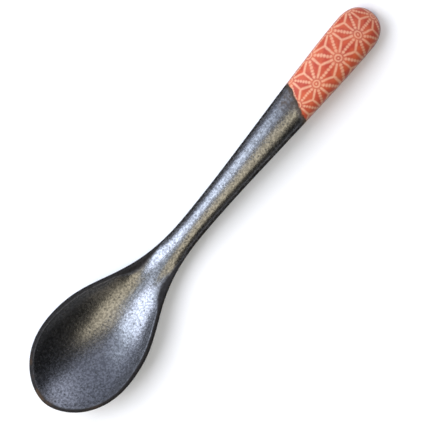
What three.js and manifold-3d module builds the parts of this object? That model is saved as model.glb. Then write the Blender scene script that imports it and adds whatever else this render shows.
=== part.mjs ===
// Glazed stoneware spoon: an egg-shaped bowl, a slim neck and an arched handle whose end
// carries a printed wrap. Millimetres, +X from the bowl's tip to the handle's end, +Z up,
// with the table top at Z = 0.
import * as THREE from "three";
import { mergeVertices } from "three/addons/utils/BufferGeometryUtils.js";
import Module from "manifold-3d";

const wasm = await Module();
wasm.setup();
const { clamp, degToRad, lerp } = THREE.MathUtils;

// Plan view, with distances along the spoon measured from the bowl's tip
const LENGTH = 140;
const BOWL_WIDTH = 28.9;
const BOWL_CENTRE = 18.4;
const TIP_FULLNESS = 5.6;
const TIP_SHOULDER = 12.2;
const BOWL_SHOULDER = 17.9;
const NECK_WIDTH = 7.1;
const NECK_AT = 63;
const NECK_SWEEP = 24.5;
const NECK_RUN = 19.6;
const HANDLE_WIDTH = 12.6;
const HANDLE_RUN = 19;
const END_CAP = 7.6;
const END_SHOULDER = 5.4;
const END_FULLNESS = 3.2;

// Side view: heights over the table of the line where the spoon is widest, thicknesses above (crown)
// and below (keel) that line, and slopes as rise over run
const BOWL_MIDDLE = 23.8;
const BOWL_DEPTH = 4.3;
const BOWL_WALL = 2.7;
const RIM_HEIGHT = 7.93;
const RIM_TILT = 0.094;
const CROWN_FULL_AT = 63.5;
const NECK_HEIGHT = 5.87;
const NECK_RISE = 0.082;
const NECK_CROWN = 2.9;
const NECK_KEEL = 3.3;
const ARCH_AT = 101.3;
const ARCH_HEIGHT = 8.37;
const ARCH_CROWN = 3.1;
const ARCH_KEEL = 3.8;
const END_CROWN = 3;
const END_KEEL = 4.65;
const END_DROOP = 0.33;

// Cross sections
const LIP_THICKNESS = 1.7;
const BOWL_ROUNDNESS = 2.24;
const HANDLE_SQUARENESS = 2.15;
const SHELL_ENDS_AT = 37.7;
const SOLID_FROM = 63.5;

// Coats, the wrap's slanted edge and the bare foot
const COAT = 0.4;
const BOND_GAP = 0.02;
const WRAP_AT = 108.3;
const WRAP_SLANT = 24.5;
const WRAP_SEAM = 0.2;
const FOOT_AT = 33;
const FOOT_LENGTH = 9;
const FOOT_WIDTH = 6.5;
const FOOT_BEVEL = 0.3;
const FOOT_MARGIN = 0.6;

// Facets along each stretch of the outline and round each section
const TIP_STEPS = 11;
const BOWL_STEPS = 15;
const HANDLE_STEPS = 14;
const END_STEPS = 8;
const INSIDE_STEPS = 8;
const LIP_STEPS = 3;
const OUTSIDE_STEPS = 8;
const FOOT_SIDES = 40;

const CAP_AT = LENGTH - END_CAP;
const LIP_RADIUS = LIP_THICKNESS / 2;

// Half of the plan outline, from the tip round to the handle's end
function outlinePoints() {
  const at = (x, y) => new THREE.Vector2(x, y);
  const bowl = BOWL_WIDTH / 2;
  const neck = NECK_WIDTH / 2;
  const handle = HANDLE_WIDTH / 2;
  const stretches = [
    [TIP_STEPS, at(0, 0), at(0, TIP_FULLNESS), at(BOWL_CENTRE - TIP_SHOULDER, bowl), at(BOWL_CENTRE, bowl)],
    [BOWL_STEPS, at(BOWL_CENTRE, bowl), at(BOWL_CENTRE + BOWL_SHOULDER, bowl),
      at(NECK_AT - NECK_SWEEP, neck), at(NECK_AT, neck)],
    [HANDLE_STEPS, at(NECK_AT, neck), at(NECK_AT + NECK_RUN, neck),
      at(CAP_AT - HANDLE_RUN, handle), at(CAP_AT, handle)],
    [END_STEPS, at(CAP_AT, handle), at(CAP_AT + END_SHOULDER, handle),
      at(LENGTH, END_FULLNESS), at(LENGTH, 0)],
  ];
  const points = [at(0, 0)];
  for (const [steps, ...corners] of stretches) {
    points.push(...new THREE.CubicBezierCurve(...corners).getPoints(steps).slice(1));
  }
  return points;
}

// A smooth line through [distance, height, slope] stations, carried on straight at both ends
function lineThrough(...stations) {
  const straight = (x, [at, height, slope = 0]) => height + slope * (x - at);
  return (x) => {
    const next = stations.findIndex(([at]) => at > x);
    if (next === 0) return straight(x, stations[0]);
    if (next < 0) return straight(x, stations[stations.length - 1]);
    const [from, low, lowSlope = 0] = stations[next - 1];
    const [to, high, highSlope = 0] = stations[next];
    const run = to - from;
    const t = (x - from) / run;
    const bulge = run * t * (1 - t) * (lowSlope * (1 - t) - highSlope * t);
    return lerp(low, high, t * t * (3 - 2 * t)) + bulge;
  };
}

// Height of the widest line where the drooping, rounded handle end starts, with the end's lowest place on the table
function endHeight() {
  const power = HANDLE_SQUARENESS / (HANDLE_SQUARENESS - 1);
  return ((END_DROOP * END_CAP) ** power + END_KEEL ** power) ** (1 / power);
}

const crown = lineThrough(
  [BOWL_MIDDLE, -BOWL_DEPTH], [CROWN_FULL_AT, NECK_CROWN], [ARCH_AT, ARCH_CROWN], [CAP_AT, END_CROWN]);
const keel = lineThrough(
  [BOWL_MIDDLE, BOWL_DEPTH + BOWL_WALL], [NECK_AT, NECK_KEEL], [ARCH_AT, ARCH_KEEL], [CAP_AT, END_KEEL]);
const widestLine = lineThrough(
  [BOWL_MIDDLE, RIM_HEIGHT, -RIM_TILT], [NECK_AT, NECK_HEIGHT, NECK_RISE], [ARCH_AT, ARCH_HEIGHT],
  [CAP_AT, endHeight(), -END_DROOP]);
const underside = (x) => widestLine(x) - keel(x);
const shellShare = lineThrough([SHELL_ENDS_AT, 1], [SOLID_FROM, 0]);

// Half a section of the bowl: a curved wall that thins to a round lip, as [reach, height] pairs
// from the middle of the inside, over the lip, to the middle of the underside
function bowlSection(reach, rise, drop) {
  const run = reach - LIP_RADIUS;
  const sag = (rise - drop) / 2;
  const lean = Math.atan2(-sag * BOWL_ROUNDNESS, run);
  const wall = (share, side) => {
    const swell = share ** BOWL_ROUNDNESS;
    const slope = (-sag * BOWL_ROUNDNESS * share ** (BOWL_ROUNDNESS - 1)) / run;
    const half = (side * lerp((rise + drop) / 2, LIP_RADIUS, swell)) / Math.hypot(1, slope);
    return [share * run - slope * half, sag * (1 - swell) + half];
  };
  const lip = (angle) => [run + LIP_RADIUS * Math.cos(angle), LIP_RADIUS * Math.sin(angle)];
  const points = [wall(0, 1)];
  for (let i = 1; i <= INSIDE_STEPS; i++) {
    points.push(wall(i / INSIDE_STEPS, 1));
  }
  for (let i = 1; i <= LIP_STEPS; i++) {
    points.push(lip((lean + Math.PI / 2) * (1 - i / LIP_STEPS)));
  }
  for (let i = 1; i <= LIP_STEPS; i++) {
    points.push(lip((lean - Math.PI / 2) * (i / LIP_STEPS)));
  }
  for (let i = 1; i <= OUTSIDE_STEPS; i++) {
    points.push(wall(1 - i / OUTSIDE_STEPS, -1));
  }
  return points;
}

// Half a section of the handle: a rounded bar, with as many points as the bowl's section
function handleSection(reach, rise, drop) {
  const bend = 2 / HANDLE_SQUARENESS;
  const corner = (angle, height) => [reach * Math.sin(angle) ** bend, height * Math.cos(angle) ** bend];
  const topSteps = INSIDE_STEPS + LIP_STEPS;
  const bottomSteps = LIP_STEPS + OUTSIDE_STEPS;
  const points = [];
  for (let i = 0; i <= topSteps; i++) {
    points.push(corner((Math.PI / 2) * (i / topSteps), rise));
  }
  for (let i = bottomSteps - 1; i >= 0; i--) {
    points.push(corner((Math.PI / 2) * (i / bottomSteps), -drop));
  }
  return points;
}

// One half section in place, from the top middle round the edge to the underside. It runs square to the
// spoon's length, but at the bowl's tip and the handle's end the sections fan out from one middle point.
function sectionAt(edge, side) {
  const middle = clamp(edge.x, BOWL_MIDDLE, CAP_AT);
  const reach = Math.hypot(edge.x - middle, edge.y);
  const shell = bowlSection(reach, crown(middle), keel(middle));
  const bar = handleSection(reach, crown(middle), keel(middle));
  return shell.map(([shellOut, shellUp], j) => {
    const out = lerp(bar[j][0], shellOut, shellShare(middle)) / reach;
    const up = lerp(bar[j][1], shellUp, shellShare(middle));
    const x = lerp(middle, edge.x, out);
    return [x - LENGTH / 2, side * edge.y * out, widestLine(x) + up];
  });
}

// The glazed outside of the whole spoon: its sections skinned on both sides of the middle plane
function finishedSurface() {
  const positions = [];
  const index = [];
  for (const side of [1, -1]) {
    const sections = outlinePoints().map((edge) => sectionAt(edge, side));
    const around = sections[0].length;
    const first = positions.length / 3;
    positions.push(...sections.flat(2));
    for (let i = 0; i + 1 < sections.length; i++) {
      for (let j = 0; j + 1 < around; j++) {
        const a = first + i * around + j;
        const b = a + around;
        const quad = [a, b, a + 1, a + 1, b, b + 1];
        index.push(...(side > 0 ? quad : quad.reverse()));
      }
    }
  }
  const grid = new THREE.BufferGeometry();
  grid.setAttribute("position", new THREE.Float32BufferAttribute(positions, 3));
  grid.setIndex(index);
  return welded(grid);
}

// Joins the vertices that coincide and drops the triangles that this closes up
function welded(geometry) {
  geometry.deleteAttribute("normal");
  geometry.deleteAttribute("uv");
  const joined = mergeVertices(geometry, 1e-4);
  const corners = Array.from(joined.index.array);
  const kept = [];
  for (let i = 0; i < corners.length; i += 3) {
    const triangle = corners.slice(i, i + 3);
    if (new Set(triangle).size === 3) {
      kept.push(...triangle);
    }
  }
  joined.setIndex(kept);
  return joined;
}

// The surface that lies a given depth under another one
function sunkSurface(geometry, depth) {
  const sunk = geometry.clone();
  sunk.computeVertexNormals();
  const places = sunk.getAttribute("position");
  const normals = sunk.getAttribute("normal");
  const place = new THREE.Vector3();
  const normal = new THREE.Vector3();
  for (let i = 0; i < places.count; i++) {
    place.fromBufferAttribute(places, i);
    normal.fromBufferAttribute(normals, i);
    place.addScaledVector(normal, -depth);
    places.setXYZ(i, place.x, place.y, place.z);
  }
  return sunk;
}

// An oval disc under the bowl's lowest place, from the table up into the wall
function footDisc(grown, bevel) {
  const radius = FOOT_LENGTH / 2 + grown;
  const top = underside(FOOT_AT) + BOWL_WALL / 2;
  const profile = [[0, -grown], [radius - bevel, -grown], [radius, bevel - grown], [radius, top], [0, top]];
  const disc = new THREE.LatheGeometry(profile.map(([r, z]) => new THREE.Vector2(r, z)), FOOT_SIDES);
  disc.rotateX(Math.PI / 2);
  disc.scale(1, (FOOT_WIDTH / 2 + grown) / radius, 1);
  disc.translate(FOOT_AT - LENGTH / 2, 0, 0);
  return welded(disc);
}

// Everything on the handle's side of the wrap's slanted edge, which is moved along by a given distance
function handleSide(moved) {
  const block = new THREE.BoxGeometry(LENGTH, LENGTH, LENGTH);
  block.translate(LENGTH / 2 + moved, 0, 0);
  block.rotateZ(-degToRad(WRAP_SLANT));
  block.translate(WRAP_AT - LENGTH / 2, 0, 0);
  return welded(block);
}

function toSolid(geometry) {
  return new wasm.Manifold(new wasm.Mesh({
    numProp: 3,
    vertProperties: geometry.getAttribute("position").array,
    triVerts: new Uint32Array(geometry.index.array),
  }));
}

function toGeometry(solid) {
  const mesh = solid.getMesh();
  const geometry = new THREE.BufferGeometry();
  geometry.setAttribute("position", new THREE.Float32BufferAttribute(mesh.vertProperties, 3));
  geometry.setIndex(new THREE.Uint32BufferAttribute(mesh.triVerts, 1));
  return geometry;
}

const finished = finishedSurface();
const coat = toSolid(finished).subtract(toSolid(sunkSurface(finished, COAT)));

// Fired clay: the bowl, neck and handle in one, with a bare foot that stands on the table
function stonewareBody() {
  const core = toSolid(sunkSurface(finished, COAT + BOND_GAP));
  return core.add(toSolid(footDisc(0, FOOT_BEVEL)));
}

// Glaze over the bowl, the neck and the handle up to the slanted edge, wiped back round the foot
function blackGlaze() {
  const dipped = coat.subtract(toSolid(handleSide(-WRAP_SEAM / 2)));
  return dipped.subtract(toSolid(footDisc(FOOT_MARGIN, 0)));
}

// Printed layer that caps the handle's end, level with the glaze
function patternedWrap() {
  return coat.intersect(toSolid(handleSide(WRAP_SEAM / 2)));
}

const spoon = new THREE.Group();

function addPiece(name, solid, finish) {
  const piece = new THREE.Mesh(toGeometry(solid), new THREE.MeshStandardMaterial(finish));
  piece.name = name;
  spoon.add(piece);
}

addPiece("stoneware_body", stonewareBody(), { color: 0x8c7563, roughness: 0.9, metalness: 0 });
addPiece("black_glaze", blackGlaze(), { color: 0x2c2d33, roughness: 0.38, metalness: 0.6 });
addPiece("patterned_wrap", patternedWrap(), { color: 0xcc5a45, roughness: 0.5, metalness: 0 });

export default spoon;
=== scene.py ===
"""Finish for a glazed stoneware spoon: fine skins for its coats, their materials and a studio stage.

The script is laid out as an add-on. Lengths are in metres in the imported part's own frame, with +X from
the bowl's tip to the handle's end, +Z up and the table top at zero.
"""
import math

import bmesh
import bpy
import numpy as np
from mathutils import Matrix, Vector, noise


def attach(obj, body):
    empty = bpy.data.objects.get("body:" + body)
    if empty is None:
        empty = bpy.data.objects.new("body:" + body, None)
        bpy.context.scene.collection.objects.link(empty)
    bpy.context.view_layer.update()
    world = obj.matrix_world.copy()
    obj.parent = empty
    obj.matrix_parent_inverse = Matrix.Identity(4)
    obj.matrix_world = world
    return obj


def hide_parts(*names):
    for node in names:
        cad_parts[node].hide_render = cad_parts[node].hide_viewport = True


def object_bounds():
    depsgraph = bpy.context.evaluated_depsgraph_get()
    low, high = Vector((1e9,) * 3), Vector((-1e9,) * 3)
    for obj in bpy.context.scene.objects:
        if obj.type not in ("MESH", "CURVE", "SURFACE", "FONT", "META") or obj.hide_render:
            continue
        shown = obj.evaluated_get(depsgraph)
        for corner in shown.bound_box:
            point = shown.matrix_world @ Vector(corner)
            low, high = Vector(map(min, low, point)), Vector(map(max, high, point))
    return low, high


bl_info = {
    "name": "Glazed Spoon Finish",
    "version": (1, 0, 0),
    "blender": (4, 5, 0),
    "location": "View3D > Sidebar > Spoon",
    "description": "Dresses a stoneware spoon with its glaze, its patterned wrap and a studio stage",
    "category": "Object",
}

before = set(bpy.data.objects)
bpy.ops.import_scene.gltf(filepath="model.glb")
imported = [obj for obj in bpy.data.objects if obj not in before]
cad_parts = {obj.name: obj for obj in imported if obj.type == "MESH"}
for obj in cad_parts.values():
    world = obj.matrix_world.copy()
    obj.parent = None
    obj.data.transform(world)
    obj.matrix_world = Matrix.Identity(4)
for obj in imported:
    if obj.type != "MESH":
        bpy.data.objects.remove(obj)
CAD_BOX = [list(corner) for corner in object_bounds()]
MM = 0.001

# Steps along each stretch of the outline and round each half section
TIP_STEPS = 40
SIDE_STEPS = 8
BODY_STEPS = 120
WRAP_STEPS = 36
END_STEPS = 28
INSIDE_STEPS = 30
LIP_STEPS = 7
OUTSIDE_STEPS = 30
OUTLINE_SAMPLES = 400
SLANT_ROUNDS = 8
# Power by which the wander of the wrap's edge dies away beside it
RAGGED_FADE = 6

# Band along the lip, which takes painted shade as a near-black unmetallic colour and, near the tip, brown:
# its middle and its width as shares of the lip's steps, how much wider it gets at the shoulder and on the
# neck, how far past the shoulder it is widest, and how late it fades out
BAND_MIDDLE = 0.55
BAND_WIDTH = 0.5
BAND_AT_SHOULDER = 1.4
BAND_ON_NECK = 0.8
BAND_LAG = 1 * MM
BAND_FADE = 4

# What counts as one point and as a sliver in a mesh, and the angle of a sharp edge
WELD_GAP = 0.002 * MM
SLIVER = 0.001 * MM
SHARP_ANGLE = math.radians(50)


def millimetres(name, description, default):
    """A length property whose default is given in millimetres."""
    return bpy.props.FloatProperty(
        name=name, description=description, default=default * MM, unit="LENGTH", precision=5)


def number(name, description, default):
    """A plain number property."""
    return bpy.props.FloatProperty(name=name, description=description, default=default, precision=3)


def angle(name, description, default):
    """An angle property whose default is given in degrees."""
    return bpy.props.FloatProperty(
        name=name, description=description, default=math.radians(default), subtype="ANGLE")


def colour(name, description, default):
    """A colour property, in linear red, green and blue."""
    return bpy.props.FloatVectorProperty(
        name=name, description=description, default=default, subtype="COLOR", size=3, min=0.0, max=1.0)


class SpoonForm(bpy.types.PropertyGroup):
    """Sizes of the spoon's finished surface. Distances along it start at the bowl's tip."""

    length: millimetres("Length", "Tip to handle end", (CAD_BOX[1][0] - CAD_BOX[0][0]) / MM)
    bowl_width: millimetres("Bowl width", "Across the widest place", (CAD_BOX[1][1] - CAD_BOX[0][1]) / MM)
    bowl_centre: millimetres("Bowl centre", "Distance of the widest place", 18.4)
    tip_fullness: millimetres("Tip fullness", "How blunt the tip is", 5.6)
    tip_shoulder: millimetres("Tip shoulder", "How full the bowl stays towards the tip", 12.2)
    bowl_shoulder: millimetres("Bowl shoulder", "How full the bowl stays towards the neck", 17.9)
    neck_width: millimetres("Neck width", "Across the narrowest place", 7.1)
    neck_at: millimetres("Neck", "Distance of the narrowest place", 63.0)
    neck_sweep: millimetres("Neck sweep", "Length of the sweep from the bowl into the neck", 24.5)
    neck_run: millimetres("Neck run", "Length of the sweep out of the neck", 19.6)
    handle_width: millimetres("Handle width", "Across the widest place of the handle", 12.6)
    handle_run: millimetres("Handle run", "Length over which the handle stays wide", 19.0)
    end_cap: millimetres("End cap", "Length of the rounded handle end", 7.6)
    end_shoulder: millimetres("End shoulder", "How full the end cap's sides stay", 5.4)
    end_fullness: millimetres("End fullness", "How blunt the handle end is", 3.2)
    bowl_middle: millimetres("Bowl middle", "Distance of the deepest place", 23.8)
    bowl_depth: millimetres("Bowl depth", "Widest line down to the inside", 4.3)
    bowl_wall: millimetres("Bowl wall", "Thickness under the bowl", 2.7)
    rim_height: millimetres("Rim height", "Widest line over the table at the bowl's middle", 7.93)
    rim_tilt: number("Rim tilt", "Fall of the rim from the tip to the neck", 0.094)
    crown_full_at: millimetres("Crown", "Distance where the handle's top is full", 63.5)
    neck_height: millimetres("Neck height", "Widest line over the table at the neck", 5.87)
    neck_rise: number("Neck rise", "Slope of the neck", 0.082)
    neck_crown: millimetres("Neck crown", "Height of the neck over its widest line", 2.9)
    neck_keel: millimetres("Neck keel", "Depth of the neck under its widest line", 3.3)
    arch_at: millimetres("Arch", "Distance of the arch's highest place", 101.3)
    arch_height: millimetres("Arch height", "Widest line over the table at the arch", 8.37)
    arch_crown: millimetres("Arch crown", "Height of the arch over its widest line", 3.1)
    arch_keel: millimetres("Arch keel", "Depth of the arch under its widest line", 3.8)
    end_crown: millimetres("End crown", "Height of the handle end over its widest line", 3.0)
    end_keel: millimetres("End keel", "Depth of the handle end under its widest line", 4.65)
    end_droop: number("End droop", "Downward slope of the handle end", 0.33)
    lip_thickness: millimetres("Lip thickness", "Across the bowl's round lip", 1.7)
    bowl_roundness: number("Bowl roundness", "Power of the bowl's section", 2.24)
    handle_squareness: number("Handle squareness", "Power of the handle's section", 2.15)
    shell_ends_at: millimetres("Shell end", "Distance where the bowl starts to turn into the neck", 37.7)
    solid_from: millimetres("Solid start", "Distance from which the handle is a plain bar", 63.5)
    shoulder_sink: millimetres("Shoulder sink", "How far the bowl's edges sink towards the neck", 0.33)
    shoulder_from: millimetres("Shoulder start", "Distance where they start to sink", 38.5)
    shoulder_at: millimetres("Shoulder", "Distance where they are sunk most", 44.2)
    shoulder_to: millimetres("Shoulder end", "Distance where they are level with the neck", 50.5)
    shoulder_inner: number("Shoulder inside", "Share of the half width from which they sink", 0.2)
    shoulder_outer: number("Shoulder outside", "Share of the half width where they are sunk in full", 0.8)
    coat: millimetres("Coat", "Thickness of the glaze and of the wrap", 0.4)
    wrap_at: millimetres("Wrap edge", "Distance of the wrap's edge on the axis", 107.5)
    wrap_slant: angle("Wrap slant", "Slant of the wrap's edge", 24.5)
    wrap_ragged: millimetres("Ragged edge", "How far the wrap's edge wanders", 0.5)
    foot_at: millimetres("Foot", "Distance of the foot's middle", 33.0)
    foot_length: millimetres("Foot opening length", "Opening in the glaze round the foot", 10.2)
    foot_width: millimetres("Foot opening width", "Opening in the glaze round the foot", 7.7)
    hand_wobble: millimetres("Hand wobble", "Unevenness of the hand-dipped coats", 0.035)
    wobble_size: millimetres("Wobble size", "Length of one swell of that unevenness", 9.0)


class SpoonGlaze(bpy.types.PropertyGroup):
    """Colours and grain of the black glaze and the bare clay."""

    body: colour("Glaze", "Black of the glaze, as a share of mirrored light", (0.150, 0.155, 0.166))
    fleck: colour("Fleck", "Brighter metallic flecks", (0.268, 0.277, 0.295))
    pit: colour("Pit", "Dark pits", (0.06, 0.06, 0.06))
    # Painted shade: near black laid on the lip band and the steep sides, where their reflections fall dark
    lip: colour("Lip", "Dull black of the lip", (0.014, 0.012, 0.011))
    thin: colour("Thin glaze", "Brown where the glaze runs thin", (0.07, 0.049, 0.034))
    clay: colour("Clay", "Bare fired clay", (0.42, 0.30, 0.21))
    clay_grog: colour("Grog", "Dark grains in the clay", (0.16, 0.10, 0.07))
    grain: millimetres("Grain", "Size of a fleck", 0.58)
    cloud: millimetres("Cloud", "Size of the soft patches", 7.0)
    dimples: millimetres("Dimples", "Depth of the fine dimples in the glaze", 0.006)
    pit_share: number("Pit share", "How far the pits hide the glaze's colour", 0.52)
    dust: number("Dust", "How far the flecks are less metallic", 0.022)
    rough: number("Roughness", "Roughness of the smooth glaze", 0.27)
    pit_rough: number("Pit roughness", "How much rougher the pits are", 0.12)
    smoke_at: bpy.props.FloatVectorProperty(
        name="Smoke", description="Middle of the smoky brown patch beside the wrap", size=3, unit="LENGTH",
        default=(36.1 * MM, 2.1 * MM, 11.0 * MM))
    smoke_size: millimetres("Smoke size", "Reach of that patch", 4.0)
    smoke_mottle: millimetres("Smoke mottle", "Size of the mottles in that patch", 1.1)
    tip_brown: millimetres("Brown tip", "Place along the spoon up to which the lip is brown", -57.0)
    tip_fade: millimetres("Brown fade", "Length over which that brown fades out", 10.0)
    streak: millimetres("Streak", "Size of the brown streaks on the lip", 3.2)


class SpoonWrap(bpy.types.PropertyGroup):
    """Colours and layout of the hemp-leaf print on the wrap."""

    ground: colour("Ground", "Red of the print", (0.61, 0.10, 0.035))
    ground_deep: colour("Deep ground", "Deeper red of its patches", (0.485, 0.048, 0.021))
    line: colour("Line", "Cream of the lines", (0.80, 0.42, 0.25))
    # This brown also serves as painted shade on the wrap's lower side and steep sides
    edge: colour("Edge", "Brown along the glaze", (0.055, 0.026, 0.016))
    stars: bpy.props.FloatVectorProperty(
        name="Stars", description="Distances of the stars on the middle row", size=5, unit="LENGTH",
        default=[place * MM for place in (107.1, 114.85, 124.2, 132.6, 140.4)])
    pitch: millimetres("Star pitch", "Mean distance of the stars, for the sizes of their lines", 8.2)
    row: millimetres("Row spacing", "Distance of the rows of stars round the handle", 7.4)
    row_at: millimetres("Middle row", "Place of the middle row beside the axis", -0.8)
    line_width: millimetres("Line width", "Width of the leaf outlines", 0.58)
    bead_pitch: millimetres("Bead pitch", "Distance of the beads along a leaf's middle", 0.84)
    bead_size: millimetres("Bead size", "Width of a bead", 0.8)
    ring_size: millimetres("Ring size", "Radius of the ring round a star's middle", 0.88)
    ray_start: millimetres("Ray start", "Distance from a star's middle where its rays start", 1.42)
    # Painted shade: the wrap's lower side is darkened from these rows on
    shade_from: number("Shade", "Rows beside the middle from which the lower side is darker", -0.2)
    shade_run: number("Shade run", "Rows over which that side gets darker", 0.6)
    mottle: millimetres("Mottle", "Size of the patches of deeper red", 2.6)
    drift: millimetres("Drift", "How far the lines stray", 0.45)
    drift_size: millimetres("Drift size", "Length of one stray of the lines", 2.4)
    brush_size: millimetres("Brush size", "Length of one swell of a line", 1.3)
    soft: millimetres("Soft edge", "Width of the soft edge of a line", 0.25)
    relief: millimetres("Relief", "Height of the lines over the ground", 0.03)


class SpoonStage(bpy.types.PropertyGroup):
    """Floor, lights and camera."""

    floor: colour("Floor", "Colour of the floor", (0.965, 0.92, 0.855))
    floor_size: millimetres("Floor size", "Side of the floor", 4000.0)
    floor_gap: millimetres("Floor gap", "How far the floor lies under the foot", 0.02)
    glow: colour("Floor glow", "Glow that brings the floor to white", (0.05, 0.09, 0.14))
    ambient: number("Ambient", "Strength of the surroundings", 0.02)
    light_height: millimetres("Light height", "Height of the lights over the table", 2000.0)
    camera_far: millimetres("Camera distance", "Height of the camera over the table", 1900.0)
    view_width: millimetres("View width", "Width of the picture at the spoon", 116.45)
    view_x: millimetres("View X", "Middle of the picture", -0.36)
    view_y: millimetres("View Y", "Middle of the picture", -1.235)
    view_turn: angle("View turn", "Turn of the picture about the vertical", -50.0)


def line_through(x, *stations):
    """Height at x of a smooth line through (distance, height, slope) stations, straight past its ends."""
    rows = [(*station, 0.0)[:3] for station in stations]
    start, end = rows[0], rows[-1]
    height = np.where(x < start[0], start[1] + start[2] * (x - start[0]), end[1] + end[2] * (x - end[0]))
    for (x0, z0, slope0), (x1, z1, slope1) in zip(rows, rows[1:]):
        run = x1 - x0
        t = (x - x0) / run
        bulge = run * t * (1 - t) * (slope0 * (1 - t) - slope1 * t)
        curve = z0 + (z1 - z0) * t * t * (3 - 2 * t) + bulge
        height = np.where((x >= x0) & (x < x1), curve, height)
    return height


def bezier(corners, t):
    """Points at t on a cubic curve with four corner points."""
    t = np.asarray(t)[:, None]
    a, b, c, d = (np.array(corner) for corner in corners)
    return a * (1 - t) ** 3 + 3 * b * t * (1 - t) ** 2 + 3 * c * t ** 2 * (1 - t) + d * t ** 3


class Surface:
    """The finished surface of the spoon, worked out from the form's sizes."""

    def __init__(self, form):
        self.form = form
        self.cap_at = form.length - form.end_cap
        self.lip_radius = form.lip_thickness / 2
        samples = np.linspace(0.0, 1.0, OUTLINE_SAMPLES)
        table = np.concatenate([bezier(corners, samples) for corners in self.stretches()])
        self.table_x, self.table_y = table[:, 0], table[:, 1]
        self.steps()

    def stretches(self):
        """Four cubic stretches of half the plan outline, from the tip to the handle's end."""
        f = self.form
        bowl, neck, handle = f.bowl_width / 2, f.neck_width / 2, f.handle_width / 2
        return [
            [(0, 0), (0, f.tip_fullness), (f.bowl_centre - f.tip_shoulder, bowl), (f.bowl_centre, bowl)],
            [(f.bowl_centre, bowl), (f.bowl_centre + f.bowl_shoulder, bowl),
             (f.neck_at - f.neck_sweep, neck), (f.neck_at, neck)],
            [(f.neck_at, neck), (f.neck_at + f.neck_run, neck),
             (self.cap_at - f.handle_run, handle), (self.cap_at, handle)],
            [(self.cap_at, handle), (self.cap_at + f.end_shoulder, handle),
             (f.length, f.end_fullness), (f.length, 0)],
        ]

    def steps(self):
        """Where each point of a half section lies: on the wall, on the lip and round the bar."""
        inside = np.linspace(0.0, 1.0, INSIDE_STEPS + 1)
        lip = np.linspace(0.0, 1.0, LIP_STEPS + 1)[1:]
        outside = np.linspace(1.0, 0.0, OUTSIDE_STEPS + 1)[1:]
        blank = np.ones(LIP_STEPS)
        self.share = np.concatenate([inside, blank, blank, outside])
        self.lip_in = np.concatenate([0 * inside, lip, 0 * blank, 0 * outside])
        self.lip_out = np.concatenate([0 * inside, 0 * blank, lip, 0 * outside])
        self.on_inside = np.arange(len(self.share)) <= INSIDE_STEPS
        self.on_outside = np.arange(len(self.share)) > INSIDE_STEPS + 2 * LIP_STEPS
        self.edge_step = INSIDE_STEPS + LIP_STEPS
        last = len(self.share) - 1
        self.turn = np.interp(np.arange(last + 1), [0, self.edge_step, last], [0.0, math.pi / 2, math.pi])

    def half_width(self, x):
        """Half the spoon's width in plan."""
        return np.interp(x, self.table_x, self.table_y)

    def crown(self, x):
        """Height of the top's middle over the widest line, less than zero in the bowl."""
        f = self.form
        return line_through(x, (f.bowl_middle, -f.bowl_depth), (f.crown_full_at, f.neck_crown),
                            (f.arch_at, f.arch_crown), (self.cap_at, f.end_crown))

    def keel(self, x):
        """Depth of the underside's middle under the widest line."""
        f = self.form
        return line_through(x, (f.bowl_middle, f.bowl_depth + f.bowl_wall), (f.neck_at, f.neck_keel),
                            (f.arch_at, f.arch_keel), (self.cap_at, f.end_keel))

    def widest_line(self, x):
        """Height of the widest line over the table. The drooping end just touches the table."""
        f = self.form
        power = f.handle_squareness / (f.handle_squareness - 1)
        end_height = ((f.end_droop * f.end_cap) ** power + f.end_keel ** power) ** (1 / power)
        return line_through(
            x, (f.bowl_middle, f.rim_height, -f.rim_tilt), (f.neck_at, f.neck_height, f.neck_rise),
            (f.arch_at, f.arch_height), (self.cap_at, end_height, -f.end_droop))

    def shell_share(self, x):
        """Share of the bowl's thin wall in a section, none where the handle is a bar."""
        return line_through(x, (self.form.shell_ends_at, 1.0), (self.form.solid_from, 0.0))

    def shoulder(self, x):
        """How far the bowl's edges are sunk at x, as a share of the most, where they turn into the neck."""
        f = self.form
        return line_through(x, (f.shoulder_from, 0.0), (f.shoulder_at, 1.0), (f.shoulder_to, 0.0))

    def half_section(self, reach, middle):
        """Reach and height of a half section's points, a blend of the bowl's wall and the handle's bar."""
        f = self.form
        rise, drop = self.crown(middle), self.keel(middle)
        power = f.bowl_roundness
        run = reach - self.lip_radius
        sag = (rise - drop) / 2
        swell = self.share ** power
        slope = -sag * power * self.share ** (power - 1) / run
        half = (rise + drop) / 2 * (1 - swell) + self.lip_radius * swell
        half = np.where(self.on_inside, half, -half) / np.hypot(1, slope)
        lean = np.arctan(-sag * power / run)
        lip_turn = np.where(self.lip_in > 0, (lean + math.pi / 2) * (1 - self.lip_in),
                            (lean - math.pi / 2) * self.lip_out)
        on_wall = self.on_inside | self.on_outside
        lip_out = run + self.lip_radius * np.cos(lip_turn)
        lip_up = self.lip_radius * np.sin(lip_turn)
        shell_out = np.where(on_wall, self.share * run - slope * half, lip_out)
        shell_up = np.where(on_wall, sag * (1 - swell) + half, lip_up)
        bend = 2 / f.handle_squareness
        over = np.abs(np.cos(self.turn)) ** bend
        bar_out = reach * np.abs(np.sin(self.turn)) ** bend
        bar_up = np.where(self.turn <= math.pi / 2, rise * over, -drop * over)
        blend = self.shell_share(middle)
        out = bar_out + (shell_out - bar_out) * blend
        outer = np.clip((out / reach - f.shoulder_inner) / (f.shoulder_outer - f.shoulder_inner), 0.0, 1.0)
        sunk = f.shoulder_sink * self.shoulder(middle) * outer * outer * (3 - 2 * outer)
        return out, bar_up + (shell_up - bar_up) * blend - sunk

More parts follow.
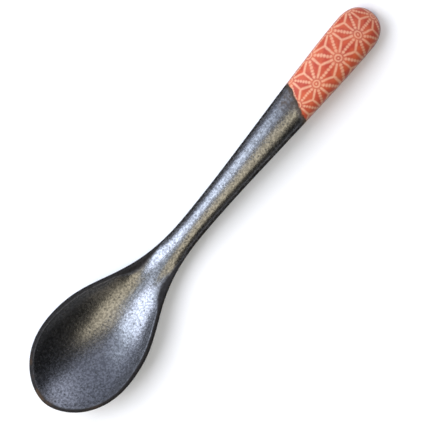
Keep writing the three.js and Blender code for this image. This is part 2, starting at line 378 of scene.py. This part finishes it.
    def tip_edges(self):
        """Points of the outline from the tip to the bowl's middle."""
        tip, side = self.stretches()[:2]
        samples = np.linspace(0.0, 1.0, OUTLINE_SAMPLES)
        last = np.interp(self.form.bowl_middle, bezier(side, samples)[:, 0], samples)
        front = bezier(tip, np.linspace(0.0, 1.0, TIP_STEPS + 1))
        return np.concatenate([front, bezier(side, np.linspace(0.0, last, SIDE_STEPS + 1)[1:])])

    def end_edges(self):
        """Points of the outline round the handle's end."""
        return bezier(self.stretches()[3], np.linspace(0.0, 1.0, END_STEPS + 1))

    def fan(self, edges, side):
        """Sections that spread from one middle point to points of the outline, as an array of points."""
        middle = np.clip(edges[:, :1], self.form.bowl_middle, self.cap_at)
        reach = np.hypot(edges[:, :1] - middle, edges[:, 1:])
        out, up = self.half_section(reach, middle)
        x = middle + (edges[:, :1] - middle) * out / reach
        y = side * edges[:, 1:] * out / reach
        return np.stack([x, y, self.widest_line(x) + up], axis=-1)

    def strip(self, start, end, steps, side):
        """Sections between two distances, which take on the slant of the wrap's edge near it."""
        f = self.form
        station = np.linspace(start, end, steps + 1)[:, None]
        near = line_through(station, (f.crown_full_at, 0.0), (f.wrap_at, 1.0), (self.cap_at, 0.0))
        wander = f.wrap_ragged * near ** RAGGED_FADE * ragged(side * self.turn)
        x = station + 0 * self.turn
        for _ in range(SLANT_ROUNDS):
            out, up = self.half_section(self.half_width(x), x)
            x = station + math.tan(f.wrap_slant) * near * side * out + wander
        return np.stack([x, side * out, self.widest_line(x) + up], axis=-1)

    def lip_crest(self, x):
        """How near each point of a section lies to the lip's crest, fading out where the bowl ends."""
        f = self.form
        crest = INSIDE_STEPS + LIP_STEPS * BAND_MIDDLE
        widest = f.shoulder_at + BAND_LAG
        past = 2 * f.shoulder_to - f.shoulder_at
        wider = line_through(x, (f.shoulder_from, 0.0), (widest, BAND_AT_SHOULDER),
                             (f.shoulder_to, BAND_ON_NECK), (past, 0.0))
        width = (BAND_WIDTH + wider) * LIP_STEPS
        near = np.exp(-((np.arange(len(self.share)) - crest) / width) ** 2)
        return near * np.minimum(1.0, BAND_FADE * self.shell_share(x))


def ragged(turn):
    """A wandering line round the handle, the same at both ends of the turn."""
    broad = 0.5 * np.sin(3 * turn) + 0.3 * np.cos(7 * turn + 1.0)
    return broad + 0.35 * np.sin(13 * turn + np.cos(2 * turn))


def skin(name, surface, halves, values, maps=None):
    """A thin sheet over a grid of points for each half, with its values and its places on the print."""
    form = surface.form
    count, around = halves[1].shape[:2]
    places = np.concatenate([halves[side].reshape(-1, 3) for side in halves])
    places[:, 0] -= form.length / 2
    faces = []
    corner_maps = []
    for half, side in enumerate(halves):
        for i in range(count - 1):
            for j in range(around - 1):
                a = half * count * around + i * around + j
                quad = [a, a + around, a + around + 1, a + 1]
                quad = quad if side > 0 else quad[::-1]
                faces.append(quad)
                if maps:
                    corner_maps.extend(maps["under" if j >= surface.edge_step else "over"][quad])
    mesh = bpy.data.meshes.new(name)
    mesh.from_pydata(places.tolist(), [], faces)
    for label, grid in values.items():
        layer = mesh.attributes.new(label, "FLOAT", "POINT")
        numbers = np.concatenate([grid[side].ravel() for side in halves])
        layer.data.foreach_set("value", numbers.astype(np.float32))
    if maps:
        layer = mesh.uv_layers.new(name="print")
        layer.uv.foreach_set("vector", np.array(corner_maps, np.float32).ravel())
    return mesh


def weld(mesh):
    """Joins the halves of a skin and removes slivers."""
    work = bmesh.new()
    work.from_mesh(mesh)
    bmesh.ops.remove_doubles(work, verts=work.verts, dist=WELD_GAP)
    bmesh.ops.dissolve_degenerate(work, edges=work.edges, dist=SLIVER)
    work.to_mesh(mesh)
    work.free()


def open_foot(mesh, surface):
    """Cuts the oval opening round the foot, and draws the cut's rim onto the oval."""
    form = surface.form
    work = bmesh.new()
    work.from_mesh(mesh)
    centre = form.foot_at - form.length / 2
    limit = surface.widest_line(form.foot_at) - surface.keel(form.foot_at) + form.bowl_wall / 2

    def oval(place):
        return math.hypot((place.x - centre) / (form.foot_length / 2), place.y / (form.foot_width / 2))

    inner = [v for v in work.verts if v.co.z < limit and oval(v.co) < 1]
    known = set(inner)
    cut = [face for face in work.faces if all(v in known for v in face.verts)]
    bmesh.ops.delete(work, geom=cut, context="FACES")
    for vertex in inner:
        if vertex.is_valid and vertex.link_faces:
            grow = 1 / oval(vertex.co)
            vertex.co.x = centre + (vertex.co.x - centre) * grow
            vertex.co.y *= grow
    work.to_mesh(mesh)
    work.free()


def wobble(mesh, form):
    """Moves a skin's points in and out a little, as a coat that was dipped by hand lies."""
    normals = [vertex.normal.copy() for vertex in mesh.vertices]
    for vertex, normal in zip(mesh.vertices, normals):
        vertex.co += normal * form.hand_wobble * noise.noise(vertex.co / form.wobble_size)


def coat_object(mesh, form):
    """Gives a skin the coat's thickness inwards and puts it in the scene."""
    piece = bpy.data.objects.new(mesh.name, mesh)
    bpy.context.scene.collection.objects.link(piece)
    depth = piece.modifiers.new("coat", "SOLIDIFY")
    depth.thickness = form.coat
    depth.offset = -1.0
    depth.use_even_offset = True
    graph = bpy.context.evaluated_depsgraph_get()
    thick = bpy.data.meshes.new_from_object(piece.evaluated_get(graph))
    thick.name = mesh.name
    piece.modifiers.clear()
    piece.data = thick
    thick.shade_smooth()
    thick.set_sharp_from_angle(angle=SHARP_ANGLE)
    return piece


class Wires:
    """Adds nodes to one node tree. An input is a plain value or another node's output."""

    def __init__(self, tree):
        self.tree = tree

    def add(self, kind, inputs=(), **settings):
        node = self.tree.nodes.new("ShaderNode" + kind)
        for name, value in settings.items():
            setattr(node, name, value)
        for key, value in dict(inputs).items():
            self.feed(node.inputs[key], value)
        return node

    def feed(self, socket, value):
        if isinstance(value, bpy.types.NodeSocket):
            self.tree.links.new(value, socket)
        elif socket.type == "RGBA":
            socket.default_value = (*value[:3], 1.0)
        else:
            socket.default_value = value

    def math(self, operation, a, b=0.0, c=0.0):
        return self.add("Math", {0: a, 1: b, 2: c}, operation=operation).outputs[0]

    def ramp(self, value, low, high, start=0.0, end=1.0):
        """A value that runs smoothly from start to end while the input runs from low to high."""
        limits = {"Value": value, "From Min": low, "From Max": high, "To Min": start, "To Max": end}
        return self.add("MapRange", limits, interpolation_type="SMOOTHSTEP").outputs[0]

    def mix(self, share, a, b):
        return self.add("Mix", {0: share, 6: a, 7: b}, data_type="RGBA").outputs[2]

    def noise(self, place, scale, detail=2.0):
        return self.add("TexNoise", {"Vector": place, "Scale": scale, "Detail": detail}).outputs[0]

    def group(self, tree, inputs):
        return self.add("Group", checked_inputs(tree, inputs), node_tree=tree).outputs

    def place(self):
        """The place on a piece and the way that its surface faces."""
        where = self.add("TexCoord").outputs
        return where["Object"], where["Normal"]

    def own(self, name):
        """The value that a skin carries under a name."""
        return self.add("Attribute", attribute_name=name).outputs["Fac"]


def checked_inputs(tree, inputs):
    """Checks that a group has every named input."""
    known = {item.name for item in tree.interface.items_tree if item.in_out == "INPUT"}
    missing = set(inputs) - known
    if missing:
        raise ValueError(f"the group {tree.name} has no input {sorted(missing)}")
    return inputs


def new_group(name, inputs, outputs):
    """An empty shader node group with named inputs and outputs, and the sockets inside it."""
    tree = bpy.data.node_groups.new(name, "ShaderNodeTree")
    for label, kind in inputs:
        tree.interface.new_socket(label, in_out="INPUT", socket_type="NodeSocket" + kind)
    for label, kind in outputs:
        tree.interface.new_socket(label, in_out="OUTPUT", socket_type="NodeSocket" + kind)
    wires = Wires(tree)
    entry = tree.nodes.new("NodeGroupInput").outputs
    leave = tree.nodes.new("NodeGroupOutput").inputs
    return tree, wires, entry, leave


def built_once(build):
    """Makes a group the first time that it is asked for, and gives the same one after that."""
    def group():
        return bpy.data.node_groups.get(build.__name__) or build()
    return group


# Cells for pits along the length of a fleck, and the share of those cells that have no pit
PIT_SPREAD = 0.62
CELLS_WITHOUT_PIT = 0.45


@built_once
def fired_grain():
    """Flecks, dark pits and soft clouds, as firing leaves them in a glaze or a clay."""
    tree, wires, entry, leave = new_group(
        "fired_grain", [("Place", "Vector"), ("Grain", "Float"), ("Cloud", "Float")],
        [("Flecks", "Float"), ("Pits", "Float"), ("Clouds", "Float")])
    fine = wires.math("DIVIDE", 1.0, entry["Grain"])
    broad = wires.math("DIVIDE", 1.0, entry["Cloud"])
    flecks = wires.ramp(wires.noise(entry["Place"], fine, detail=1.2), low=0.36, high=0.66)
    pit_scale = wires.math("MULTIPLY", fine, PIT_SPREAD)
    cells = wires.add("TexVoronoi", {"Vector": entry["Place"], "Scale": pit_scale}).outputs
    draw = wires.add("SeparateColor", {0: cells["Color"]}).outputs[0]
    chosen = wires.math("GREATER_THAN", draw, CELLS_WITHOUT_PIT)
    hollow = wires.ramp(cells["Distance"], low=0.18, high=0.42, start=1.0, end=0.0)
    pits = wires.math("MULTIPLY", hollow, chosen)
    clouds = wires.ramp(wires.noise(entry["Place"], broad, detail=3.0), low=0.32, high=0.68)
    for label, value in (("Flecks", flecks), ("Pits", pits), ("Clouds", clouds)):
        wires.feed(leave[label], value)
    return tree


@built_once
def steep_sides():
    """Mask of the steep sides beside the top, for painted shade; none of it lies on the top and underside.
    """
    tree, wires, entry, leave = new_group(
        "steep_sides", [("Normal", "Vector"), ("Steep", "Float"), ("Level", "Float"), ("Most", "Float")],
        [("Mask", "Float")])
    facing = wires.add("SeparateXYZ", {0: entry["Normal"]}).outputs[2]
    falling = wires.ramp(facing, entry["Steep"], entry["Level"], entry["Most"], 0.0)
    over = wires.ramp(facing, low=-0.6, high=-0.15)
    wires.feed(leave["Mask"], wires.math("MULTIPLY", falling, over))
    return tree


# Waves of a coat's rim in a metre of its edge
RIM_WAVES = 900.0


@built_once
def thin_rim():
    """A mask of a coat's rim, which thins out unevenly from clear of its edge to full."""
    tree, wires, entry, leave = new_group(
        "thin_rim", [("Distance", "Float"), ("Place", "Vector"), ("Reach", "Float"), ("Clear", "Float"),
                     ("Full", "Float"), ("Most", "Float")],
        [("Mask", "Float")])
    uneven = wires.math("SUBTRACT", wires.noise(entry["Place"], RIM_WAVES), 0.5)
    shift = wires.math("MULTIPLY", uneven, wires.math("MULTIPLY", entry["Reach"], 2.0))
    distance = wires.math("ADD", entry["Distance"], shift)
    wires.feed(leave["Mask"], wires.ramp(distance, entry["Clear"], entry["Full"], 0.0, entry["Most"]))
    return tree


# Width of a ring's line as a share of a leaf's, and size of its dot as a share of the ring
RING_LINE = 0.75
RING_DOT = 0.3


@built_once
def hemp_leaf():
    """Lines of the hemp-leaf pattern: stars of six leaves with beaded middles, each with a ring."""
    tree, wires, entry, leave = new_group(
        "hemp_leaf",
        [(label, "Float") for label in (
            "Along", "Across", "Pitch", "Line", "Bead Pitch", "Bead", "Ring", "Rays", "Soft")],
        [("Lines", "Float")])
    calc = wires.math
    half_across = calc("MULTIPLY", entry["Across"], 0.5)
    first = entry["Across"]
    second = calc("SUBTRACT", calc("MULTIPLY", entry["Along"], -1.0), half_across)
    third = calc("SUBTRACT", entry["Along"], half_across)
    # Shares of the three stars at the corners of the triangle that a place lies in
    parts = [calc("FRACT", value) for value in (first, second, third)]
    turned = calc("GREATER_THAN", calc("ADD", calc("ADD", parts[0], parts[1]), parts[2]), 1.5)
    sides = [calc("ABSOLUTE", calc("SUBTRACT", turned, part)) for part in parts]
    large = calc("MAXIMUM", calc("MAXIMUM", sides[0], sides[1]), sides[2])
    small = calc("MINIMUM", calc("MINIMUM", sides[0], sides[1]), sides[2])
    middle = calc("SUBTRACT", calc("SUBTRACT", 1.0, large), small)
    pitch = entry["Pitch"]
    soft = entry["Soft"]

    def square(value):
        return calc("POWER", value, 2.0)

    def drawn(distance, reach):
        return wires.ramp(distance, calc("SUBTRACT", reach, soft), calc("ADD", reach, soft), 1.0, 0.0)

    outline = calc("MULTIPLY", calc("MULTIPLY", calc("SUBTRACT", middle, small), 0.5), pitch)
    beside = calc("MULTIPLY", calc("MULTIPLY", small, math.sqrt(3) / 2), pitch)
    along = calc("MULTIPLY", calc("MULTIPLY", calc("SUBTRACT", large, middle), 0.5), pitch)
    bead_place = calc("SUBTRACT", calc("FRACT", calc("DIVIDE", along, entry["Bead Pitch"])), 0.5)
    bead_along = calc("MULTIPLY", bead_place, entry["Bead Pitch"])
    to_bead = calc("SQRT", calc("ADD", square(bead_along), square(beside)))
    apart = calc("ADD", calc("ADD", square(middle), square(small)), calc("MULTIPLY", middle, small))
    to_star = calc("MULTIPLY", calc("SQRT", apart), pitch)
    half_line = calc("MULTIPLY", entry["Line"], 0.5)
    half_bead = calc("MULTIPLY", entry["Bead"], 0.5)
    past_ring = calc("SUBTRACT", 1.0, drawn(to_star, entry["Rays"]))
    leaves = calc("MAXIMUM", drawn(outline, half_line), drawn(to_bead, half_bead))
    leaves = calc("MULTIPLY", leaves, past_ring)
    half_ring = calc("MULTIPLY", half_line, RING_LINE)
    ring = drawn(calc("ABSOLUTE", calc("SUBTRACT", to_star, entry["Ring"])), half_ring)
    dot = drawn(to_star, calc("MULTIPLY", entry["Ring"], RING_DOT))
    wires.feed(leave["Lines"], calc("MAXIMUM", leaves, calc("MAXIMUM", ring, dot)))
    return tree


def new_material(name):
    """A material with a Principled shader, and the wires to build on."""
    material = bpy.data.materials.new(name)
    material.use_nodes = True
    shader = material.node_tree.nodes["Principled BSDF"]
    return material, Wires(material.node_tree), shader.inputs


def thin_glaze(wires, glaze, place):
    """Where the glaze runs thin and brown: on the tip's lip, along the wrap and in a patch beside it."""
    along = wires.add("SeparateXYZ", {0: place}).outputs[0]
    near_tip = wires.ramp(along, glaze.tip_brown - glaze.tip_fade, glaze.tip_brown, start=1.0, end=0.0)
    streaks = wires.ramp(wires.noise(place, 1 / glaze.streak, detail=3.0), low=0.46, high=0.66)
    lip = wires.math("MULTIPLY", wires.math("MULTIPLY", wires.own("lip"), streaks), near_tip)
    rim = wires.group(thin_rim(), {
        "Distance": wires.own("from_edge"), "Place": place, "Reach": 0.8 * MM,
        "Clear": -1.8 * MM, "Full": -0.2 * MM, "Most": 0.92})
    away = wires.add("VectorMath", {0: place, 1: glaze.smoke_at}, operation="DISTANCE").outputs["Value"]
    patch = wires.ramp(away, 0.3 * glaze.smoke_size, glaze.smoke_size, start=0.8, end=0.0)
    mottles = wires.noise(place, 1 / glaze.smoke_mottle)
    smoke = wires.math("MULTIPLY", patch, wires.ramp(mottles, low=0.36, high=0.6, start=0.35))
    return wires.math("MAXIMUM", lip, wires.math("MAXIMUM", rim["Mask"], smoke))


def glaze_material(glaze):
    """Black iron glaze, flecked and pitted, with painted shade on the lip and the sides, brown where thin.
    """
    material, wires, shader = new_material("black_iron_glaze")
    place, normal = wires.place()
    grain = wires.group(fired_grain(), {"Place": place, "Grain": glaze.grain, "Cloud": glaze.cloud})
    tone = wires.mix(grain["Flecks"], glaze.body, glaze.fleck)
    tone = wires.mix(wires.math("MULTIPLY", grain["Pits"], glaze.pit_share), tone, glaze.pit)
    # Painted shade: the steep sides and the lip band turn near black and lose their metallic reflection
    beside = wires.group(steep_sides(), {"Normal": normal, "Steep": 0.62, "Level": 0.86, "Most": 0.97})
    between_flecks = wires.ramp(grain["Flecks"], low=0.3, high=1.0, start=1.0, end=0.8)
    painted_side_shade = wires.math("MULTIPLY", beside["Mask"], between_flecks)
    painted_lip_shade = wires.ramp(wires.own("lip"), low=0.16, high=0.8, end=0.93)
    painted_shade = wires.math("MAXIMUM", painted_lip_shade, painted_side_shade)
    thin = thin_glaze(wires, glaze, place)
    wires.feed(shader["Base Color"], wires.mix(thin, wires.mix(painted_shade, tone, glaze.lip), glaze.thin))
    dusty = wires.math("MULTIPLY", grain["Flecks"], glaze.dust)
    plain = wires.math("MAXIMUM", dusty, wires.math("MAXIMUM", thin, painted_shade))
    wires.feed(shader["Metallic"], wires.math("SUBTRACT", 1.0, plain))
    wires.feed(shader["Roughness"], wires.math("MULTIPLY_ADD", grain["Pits"], glaze.pit_rough, glaze.rough))
    shader["Specular IOR Level"].default_value = 0.0
    shader["Specular Tint"].default_value = (0.12, 0.12, 0.12, 1.0)
    height = wires.math("SUBTRACT", grain["Flecks"], wires.math("MULTIPLY", grain["Pits"], 0.5))
    bump = wires.add("Bump", {"Strength": 1.0, "Distance": glaze.dimples, "Height": height})
    wires.feed(shader["Normal"], bump.outputs[0])
    return material


def printed_lines(wires, wrap, place):
    """The hemp-leaf lines on the wrap, which stray and swell a little, and the place across its rows."""
    flat = wires.add("SeparateXYZ", {0: wires.add("UVMap", uv_map="print").outputs[0]}).outputs
    stray = wires.noise(place, 1 / wrap.drift_size, detail=1.0)
    drift = wires.math("MULTIPLY_ADD", stray, wrap.drift, -wrap.drift / 2)
    along = wires.math("ADD", flat[0], wires.math("DIVIDE", drift, wrap.pitch))
    across = wires.math("ADD", flat[1], wires.math("DIVIDE", drift, wrap.row))
    swell = wires.noise(place, 1 / wrap.brush_size, detail=1.0)
    brush = wires.math("MULTIPLY_ADD", swell, 0.7 * wrap.line_width, 0.65 * wrap.line_width)
    lines = wires.group(hemp_leaf(), {
        "Along": along, "Across": across, "Pitch": wrap.pitch, "Line": brush,
        "Bead Pitch": wrap.bead_pitch, "Bead": wrap.bead_size, "Ring": wrap.ring_size,
        "Rays": wrap.ray_start, "Soft": wrap.soft})["Lines"]
    return lines, across


def wrap_material(wrap, glaze):
    """Red print with cream hemp-leaf lines, mottled, under a thin satin coat, with painted shade on its
    lower and steep sides.
    """
    material, wires, shader = new_material("hemp_leaf_print")
    place, normal = wires.place()
    grain = wires.group(fired_grain(), {"Place": place, "Grain": glaze.grain, "Cloud": wrap.mottle})
    lines, across = printed_lines(wires, wrap, place)
    ground = wires.mix(grain["Clouds"], wrap.ground, wrap.ground_deep)
    worn = wires.math("MULTIPLY_ADD", grain["Flecks"], 0.2, 0.76)
    tone = wires.mix(wires.math("MULTIPLY", lines, worn), ground, wrap.line)
    # Painted shade: the wrap's lower side is darkened towards the edge brown
    shade = wires.ramp(across, wrap.shade_from - wrap.shade_run, wrap.shade_from, start=0.4, end=0.0)
    tone = wires.mix(shade, tone, wrap.edge)
    rim = wires.group(thin_rim(), {
        "Distance": wires.own("from_edge"), "Place": place, "Reach": 0.7 * MM,
        "Clear": 0.45 * MM, "Full": 0.0, "Most": 0.9})
    # Painted shade on the wrap's steep sides and rounded end, joined with the real brown rim along the
    # glaze
    beside = wires.group(steep_sides(), {"Normal": normal, "Steep": 0.15, "Level": 0.7, "Most": 0.6})
    brown = wires.math("MAXIMUM", rim["Mask"], beside["Mask"])
    wires.feed(shader["Base Color"], wires.mix(brown, tone, wrap.edge))
    wires.feed(shader["Roughness"], wires.math("MULTIPLY_ADD", grain["Clouds"], 0.12, 0.40))
    height = wires.math("MULTIPLY_ADD", lines, 0.6, wires.math("MULTIPLY", grain["Flecks"], 0.3))
    bump = wires.add("Bump", {"Strength": 0.35, "Distance": wrap.relief, "Height": height})
    wires.feed(shader["Normal"], bump.outputs[0])
    shader["Coat Weight"].default_value = 0.15
    shader["Coat Roughness"].default_value = 0.32
    return material


def clay_material(glaze):
    """Bare fired stoneware with dark grains."""
    material, wires, shader = new_material("bare_stoneware")
    place, _ = wires.place()
    grain = wires.group(fired_grain(), {"Place": place, "Grain": 0.3 * MM, "Cloud": 2.0 * MM})
    wires.feed(shader["Base Color"], wires.mix(grain["Pits"], glaze.clay, glaze.clay_grog))
    wires.feed(shader["Roughness"], wires.math("MULTIPLY_ADD", grain["Clouds"], 0.12, 0.78))
    bump = wires.add("Bump", {"Strength": 0.5, "Distance": 0.05 * MM, "Height": grain["Flecks"]})
    wires.feed(shader["Normal"], bump.outputs[0])
    return material


def floor_material(stage):
    """Pale floor that keeps the shadow, lifted to white for what looks at it."""
    material, wires, shader = new_material("pale_floor")
    place, _ = wires.place()
    patches = wires.noise(place, scale=6.0, detail=1.0)
    duller = [0.98 * part for part in stage.floor]
    wires.feed(shader["Base Color"], wires.mix(patches, stage.floor, duller))
    shader["Roughness"].default_value = 0.9
    shader["Specular IOR Level"].default_value = 0.0
    rays = wires.add("LightPath").outputs
    seen = wires.math("MAXIMUM", rays["Is Camera Ray"], rays["Is Glossy Ray"])
    seen = wires.math("MAXIMUM", seen, rays["Is Transmission Ray"])
    shader["Emission Color"].default_value = (*stage.glow, 1.0)
    wires.feed(shader["Emission Strength"], seen)
    return material


def edge_distance(places, form):
    """Distance of each point from the wrap's slanted edge, along the spoon, less than zero on the glaze."""
    return places[..., 0] - form.wrap_at - math.tan(form.wrap_slant) * places[..., 1]


def on_print(wrap, places):
    """Places on the flat wrap as numbers of stars along it and of rows across it."""
    stars = np.array(wrap.stars)
    numbers = np.arange(len(stars)) - len(stars) + 2.0
    slopes = np.gradient(numbers, stars)
    rows = (places[..., 1] - wrap.row_at) / wrap.row
    along = line_through(places[..., 0], *zip(stars, numbers, slopes))
    return np.stack([along, rows], axis=-1).reshape(-1, 2)


def print_places(surface, wrap, half, side, strip_rows):
    """Where each point of the wrap lies on the print, for the faces over and under the widest line."""
    arcs = np.cumsum(np.linalg.norm(np.diff(half, axis=1), axis=2), axis=1)
    arcs = np.concatenate([np.zeros((len(half), 1)), arcs], axis=1)
    over = np.stack([half[..., 0], side * arcs], axis=-1)
    under = over.copy()
    edge = half[strip_rows:, surface.edge_step]
    turn = np.arctan2(np.abs(edge[:, 1]), edge[:, 0] - surface.cap_at)[:, None]
    girth = arcs[strip_rows - 1, -1]
    back = arcs[strip_rows:, -1:] - arcs[strip_rows:]
    over[strip_rows:, :, 0] = surface.cap_at + arcs[strip_rows:] * np.cos(turn)
    over[strip_rows:, :, 1] = side * arcs[strip_rows:] * np.sin(turn)
    under[strip_rows:, :, 0] = surface.cap_at + back * np.cos(turn)
    under[strip_rows:, :, 1] = side * (girth - back * np.sin(turn))
    return on_print(wrap, over), on_print(wrap, under)


class SPOON_OT_glaze(bpy.types.Operator):
    """Makes the black glaze over the bowl, the neck and the handle up to the wrap"""

    bl_idname = "spoon.glaze"
    bl_label = "Black Glaze"

    def execute(self, context):
        form = context.scene.spoon_form
        surface = Surface(form)
        halves, lip, from_edge = {}, {}, {}
        for side in (1, -1):
            tip = surface.fan(surface.tip_edges(), side)
            body = surface.strip(form.bowl_middle, form.wrap_at, BODY_STEPS, side)
            halves[side] = np.concatenate([tip[:-1], body])
            lip[side] = surface.lip_crest(halves[side][..., 0])
            from_edge[side] = edge_distance(halves[side], form)
        mesh = skin("black_glaze_coat", surface, halves, {"lip": lip, "from_edge": from_edge})
        weld(mesh)
        open_foot(mesh, surface)
        wobble(mesh, form)
        piece = coat_object(mesh, form)
        piece.data.materials.append(glaze_material(context.scene.spoon_glaze))
        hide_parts("black_glaze")
        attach(piece, "root")
        return {"FINISHED"}


class SPOON_OT_wrap(bpy.types.Operator):
    """Makes the red patterned wrap that caps the handle's end"""

    bl_idname = "spoon.wrap"
    bl_label = "Patterned Wrap"

    def execute(self, context):
        form = context.scene.spoon_form
        surface = Surface(form)
        halves, from_edge, over, under = {}, {}, [], []
        for side in (1, -1):
            body = surface.strip(form.wrap_at, surface.cap_at, WRAP_STEPS, side)
            end = surface.fan(surface.end_edges(), side)
            halves[side] = np.concatenate([body, end[1:]])
            from_edge[side] = edge_distance(halves[side], form)
            places = print_places(surface, context.scene.spoon_wrap, halves[side], side, WRAP_STEPS + 1)
            over.append(places[0])
            under.append(places[1])
        maps = {"over": np.concatenate(over), "under": np.concatenate(under)}
        mesh = skin("patterned_wrap_coat", surface, halves, {"from_edge": from_edge}, maps)
        weld(mesh)
        wobble(mesh, form)
        piece = coat_object(mesh, form)
        piece.data.materials.append(wrap_material(context.scene.spoon_wrap, context.scene.spoon_glaze))
        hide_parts("patterned_wrap")
        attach(piece, "root")
        return {"FINISHED"}


class SPOON_OT_clay(bpy.types.Operator):
    """Gives the stoneware body its bare fired clay"""

    bl_idname = "spoon.clay"
    bl_label = "Bare Clay"

    def execute(self, context):
        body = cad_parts["stoneware_body"]
        body.data.materials.clear()
        body.data.materials.append(clay_material(context.scene.spoon_glaze))
        return {"FINISHED"}


# Each overhead light: its name, its edges along the spoon and across it as shares of its height over the
# table, its turn in degrees, its strength and its colour
STUDIO_LIGHTS = (
    ("window_softbox", (-1.9, -0.30), (0.05, 1.9), 7.0, 5.7, (0.81, 0.865, 1.0)),
    ("window_side", (-0.34, -0.06), (0.25, 1.2), -3.0, 3.4, (0.79, 0.88, 1.0)),
    ("window_gap", (-0.52, -0.30), (-0.15, 0.06), 0.0, 1.5, (0.62, 0.78, 1.0)),
    ("warm_reflector", (-0.98, -0.43), (-2.1, 0.22), -42.7, 2.0, (1.0, 0.86, 0.60)),
    ("warm_wall", (-1.7, -0.6), (-3.3, -1.5), 0.0, 0.45, (1.0, 0.84, 0.62)),
    ("cool_wall", (-1.25, 1.48), (0.33, 3.04), -30.8, 0.66, (0.75, 0.80, 1.0)),
    ("far_wall", (0.28, 1.63), (-0.28, 1.93), 40.6, 1.6, (0.80, 0.835, 1.0)),
)


class SPOON_OT_stage(bpy.types.Operator):
    """Makes the floor, the studio lights, the surroundings and the camera"""

    bl_idname = "spoon.stage"
    bl_label = "Stage"

    def execute(self, context):
        stage = context.scene.spoon_stage
        self.floor(context, stage)
        target = Vector((stage.view_x, stage.view_y, 0.0))
        for light in STUDIO_LIGHTS:
            self.light(context, stage, *light)
        self.surroundings(context, stage)
        self.camera(context, stage, target)
        context.scene.view_settings.view_transform = "Standard"
        return {"FINISHED"}

    def floor(self, context, stage):
        half = stage.floor_size / 2
        mesh = bpy.data.meshes.new("floor")
        corners = [(-half, -half, 0), (half, -half, 0), (half, half, 0), (-half, half, 0)]
        mesh.from_pydata(corners, [], [(0, 1, 2, 3)])
        mesh.materials.append(floor_material(stage))
        floor = bpy.data.objects.new("floor", mesh)
        floor.location.z = -stage.floor_gap
        context.scene.collection.objects.link(floor)

    def light(self, context, stage, name, along, across, turn, strength, tint):
        lamp = bpy.data.lights.new(name, "AREA")
        lamp.shape = "RECTANGLE"
        lamp.size = (along[1] - along[0]) * stage.light_height
        lamp.size_y = (across[1] - across[0]) * stage.light_height
        lamp.energy = strength * math.pi * lamp.size * lamp.size_y
        lamp.color = tint
        light = bpy.data.objects.new(name, lamp)
        light.location = Vector((sum(along) / 2, sum(across) / 2, 1.0)) * stage.light_height
        light.rotation_euler = (0.0, 0.0, math.radians(turn))
        context.scene.collection.objects.link(light)

    def surroundings(self, context, stage):
        world = bpy.data.worlds.new("dim_studio")
        world.use_nodes = True
        back = world.node_tree.nodes["Background"].inputs
        back["Color"].default_value = (0.92, 0.95, 1.0, 1.0)
        back["Strength"].default_value = stage.ambient
        context.scene.world = world

    def camera(self, context, stage, target):
        lens = bpy.data.cameras.new("overhead")
        lens.sensor_width = 36.0
        lens.lens = lens.sensor_width * stage.camera_far / stage.view_width
        lens.clip_start = 0.01
        camera = bpy.data.objects.new("overhead", lens)
        camera.location = target + Vector((0.0, 0.0, stage.camera_far))
        camera.rotation_euler = (0.0, 0.0, stage.view_turn)
        context.scene.collection.objects.link(camera)
        context.scene.camera = camera


class SPOON_PT_finish(bpy.types.Panel):
    """Sidebar panel with the spoon's steps and sizes"""

    bl_label = "Spoon"
    bl_idname = "SPOON_PT_finish"
    bl_space_type = "VIEW_3D"
    bl_region_type = "UI"
    bl_category = "Spoon"

    def draw(self, context):
        for operator in OPERATORS:
            self.layout.operator(operator.bl_idname)
        for name, group in SETTINGS.items():
            box = self.layout.box()
            box.label(text=group.__name__)
            for setting in group.__annotations__:
                box.prop(getattr(context.scene, name), setting)


SETTINGS = {
    "spoon_form": SpoonForm,
    "spoon_glaze": SpoonGlaze,
    "spoon_wrap": SpoonWrap,
    "spoon_stage": SpoonStage,
}
OPERATORS = (SPOON_OT_stage, SPOON_OT_clay, SPOON_OT_glaze, SPOON_OT_wrap)


def register():
    for group in (*SETTINGS.values(), *OPERATORS, SPOON_PT_finish):
        bpy.utils.register_class(group)
    for name, group in SETTINGS.items():
        setattr(bpy.types.Scene, name, bpy.props.PointerProperty(type=group))


def unregister():
    for name in SETTINGS:
        delattr(bpy.types.Scene, name)
    for group in (SPOON_PT_finish, *reversed(OPERATORS), *SETTINGS.values()):
        bpy.utils.unregister_class(group)


def main():
    """Registers the add-on and runs its steps in order."""
    register()
    bpy.ops.spoon.stage()
    bpy.ops.spoon.clay()
    bpy.ops.spoon.glaze()
    bpy.ops.spoon.wrap()


if __name__ == "__main__":
    main()
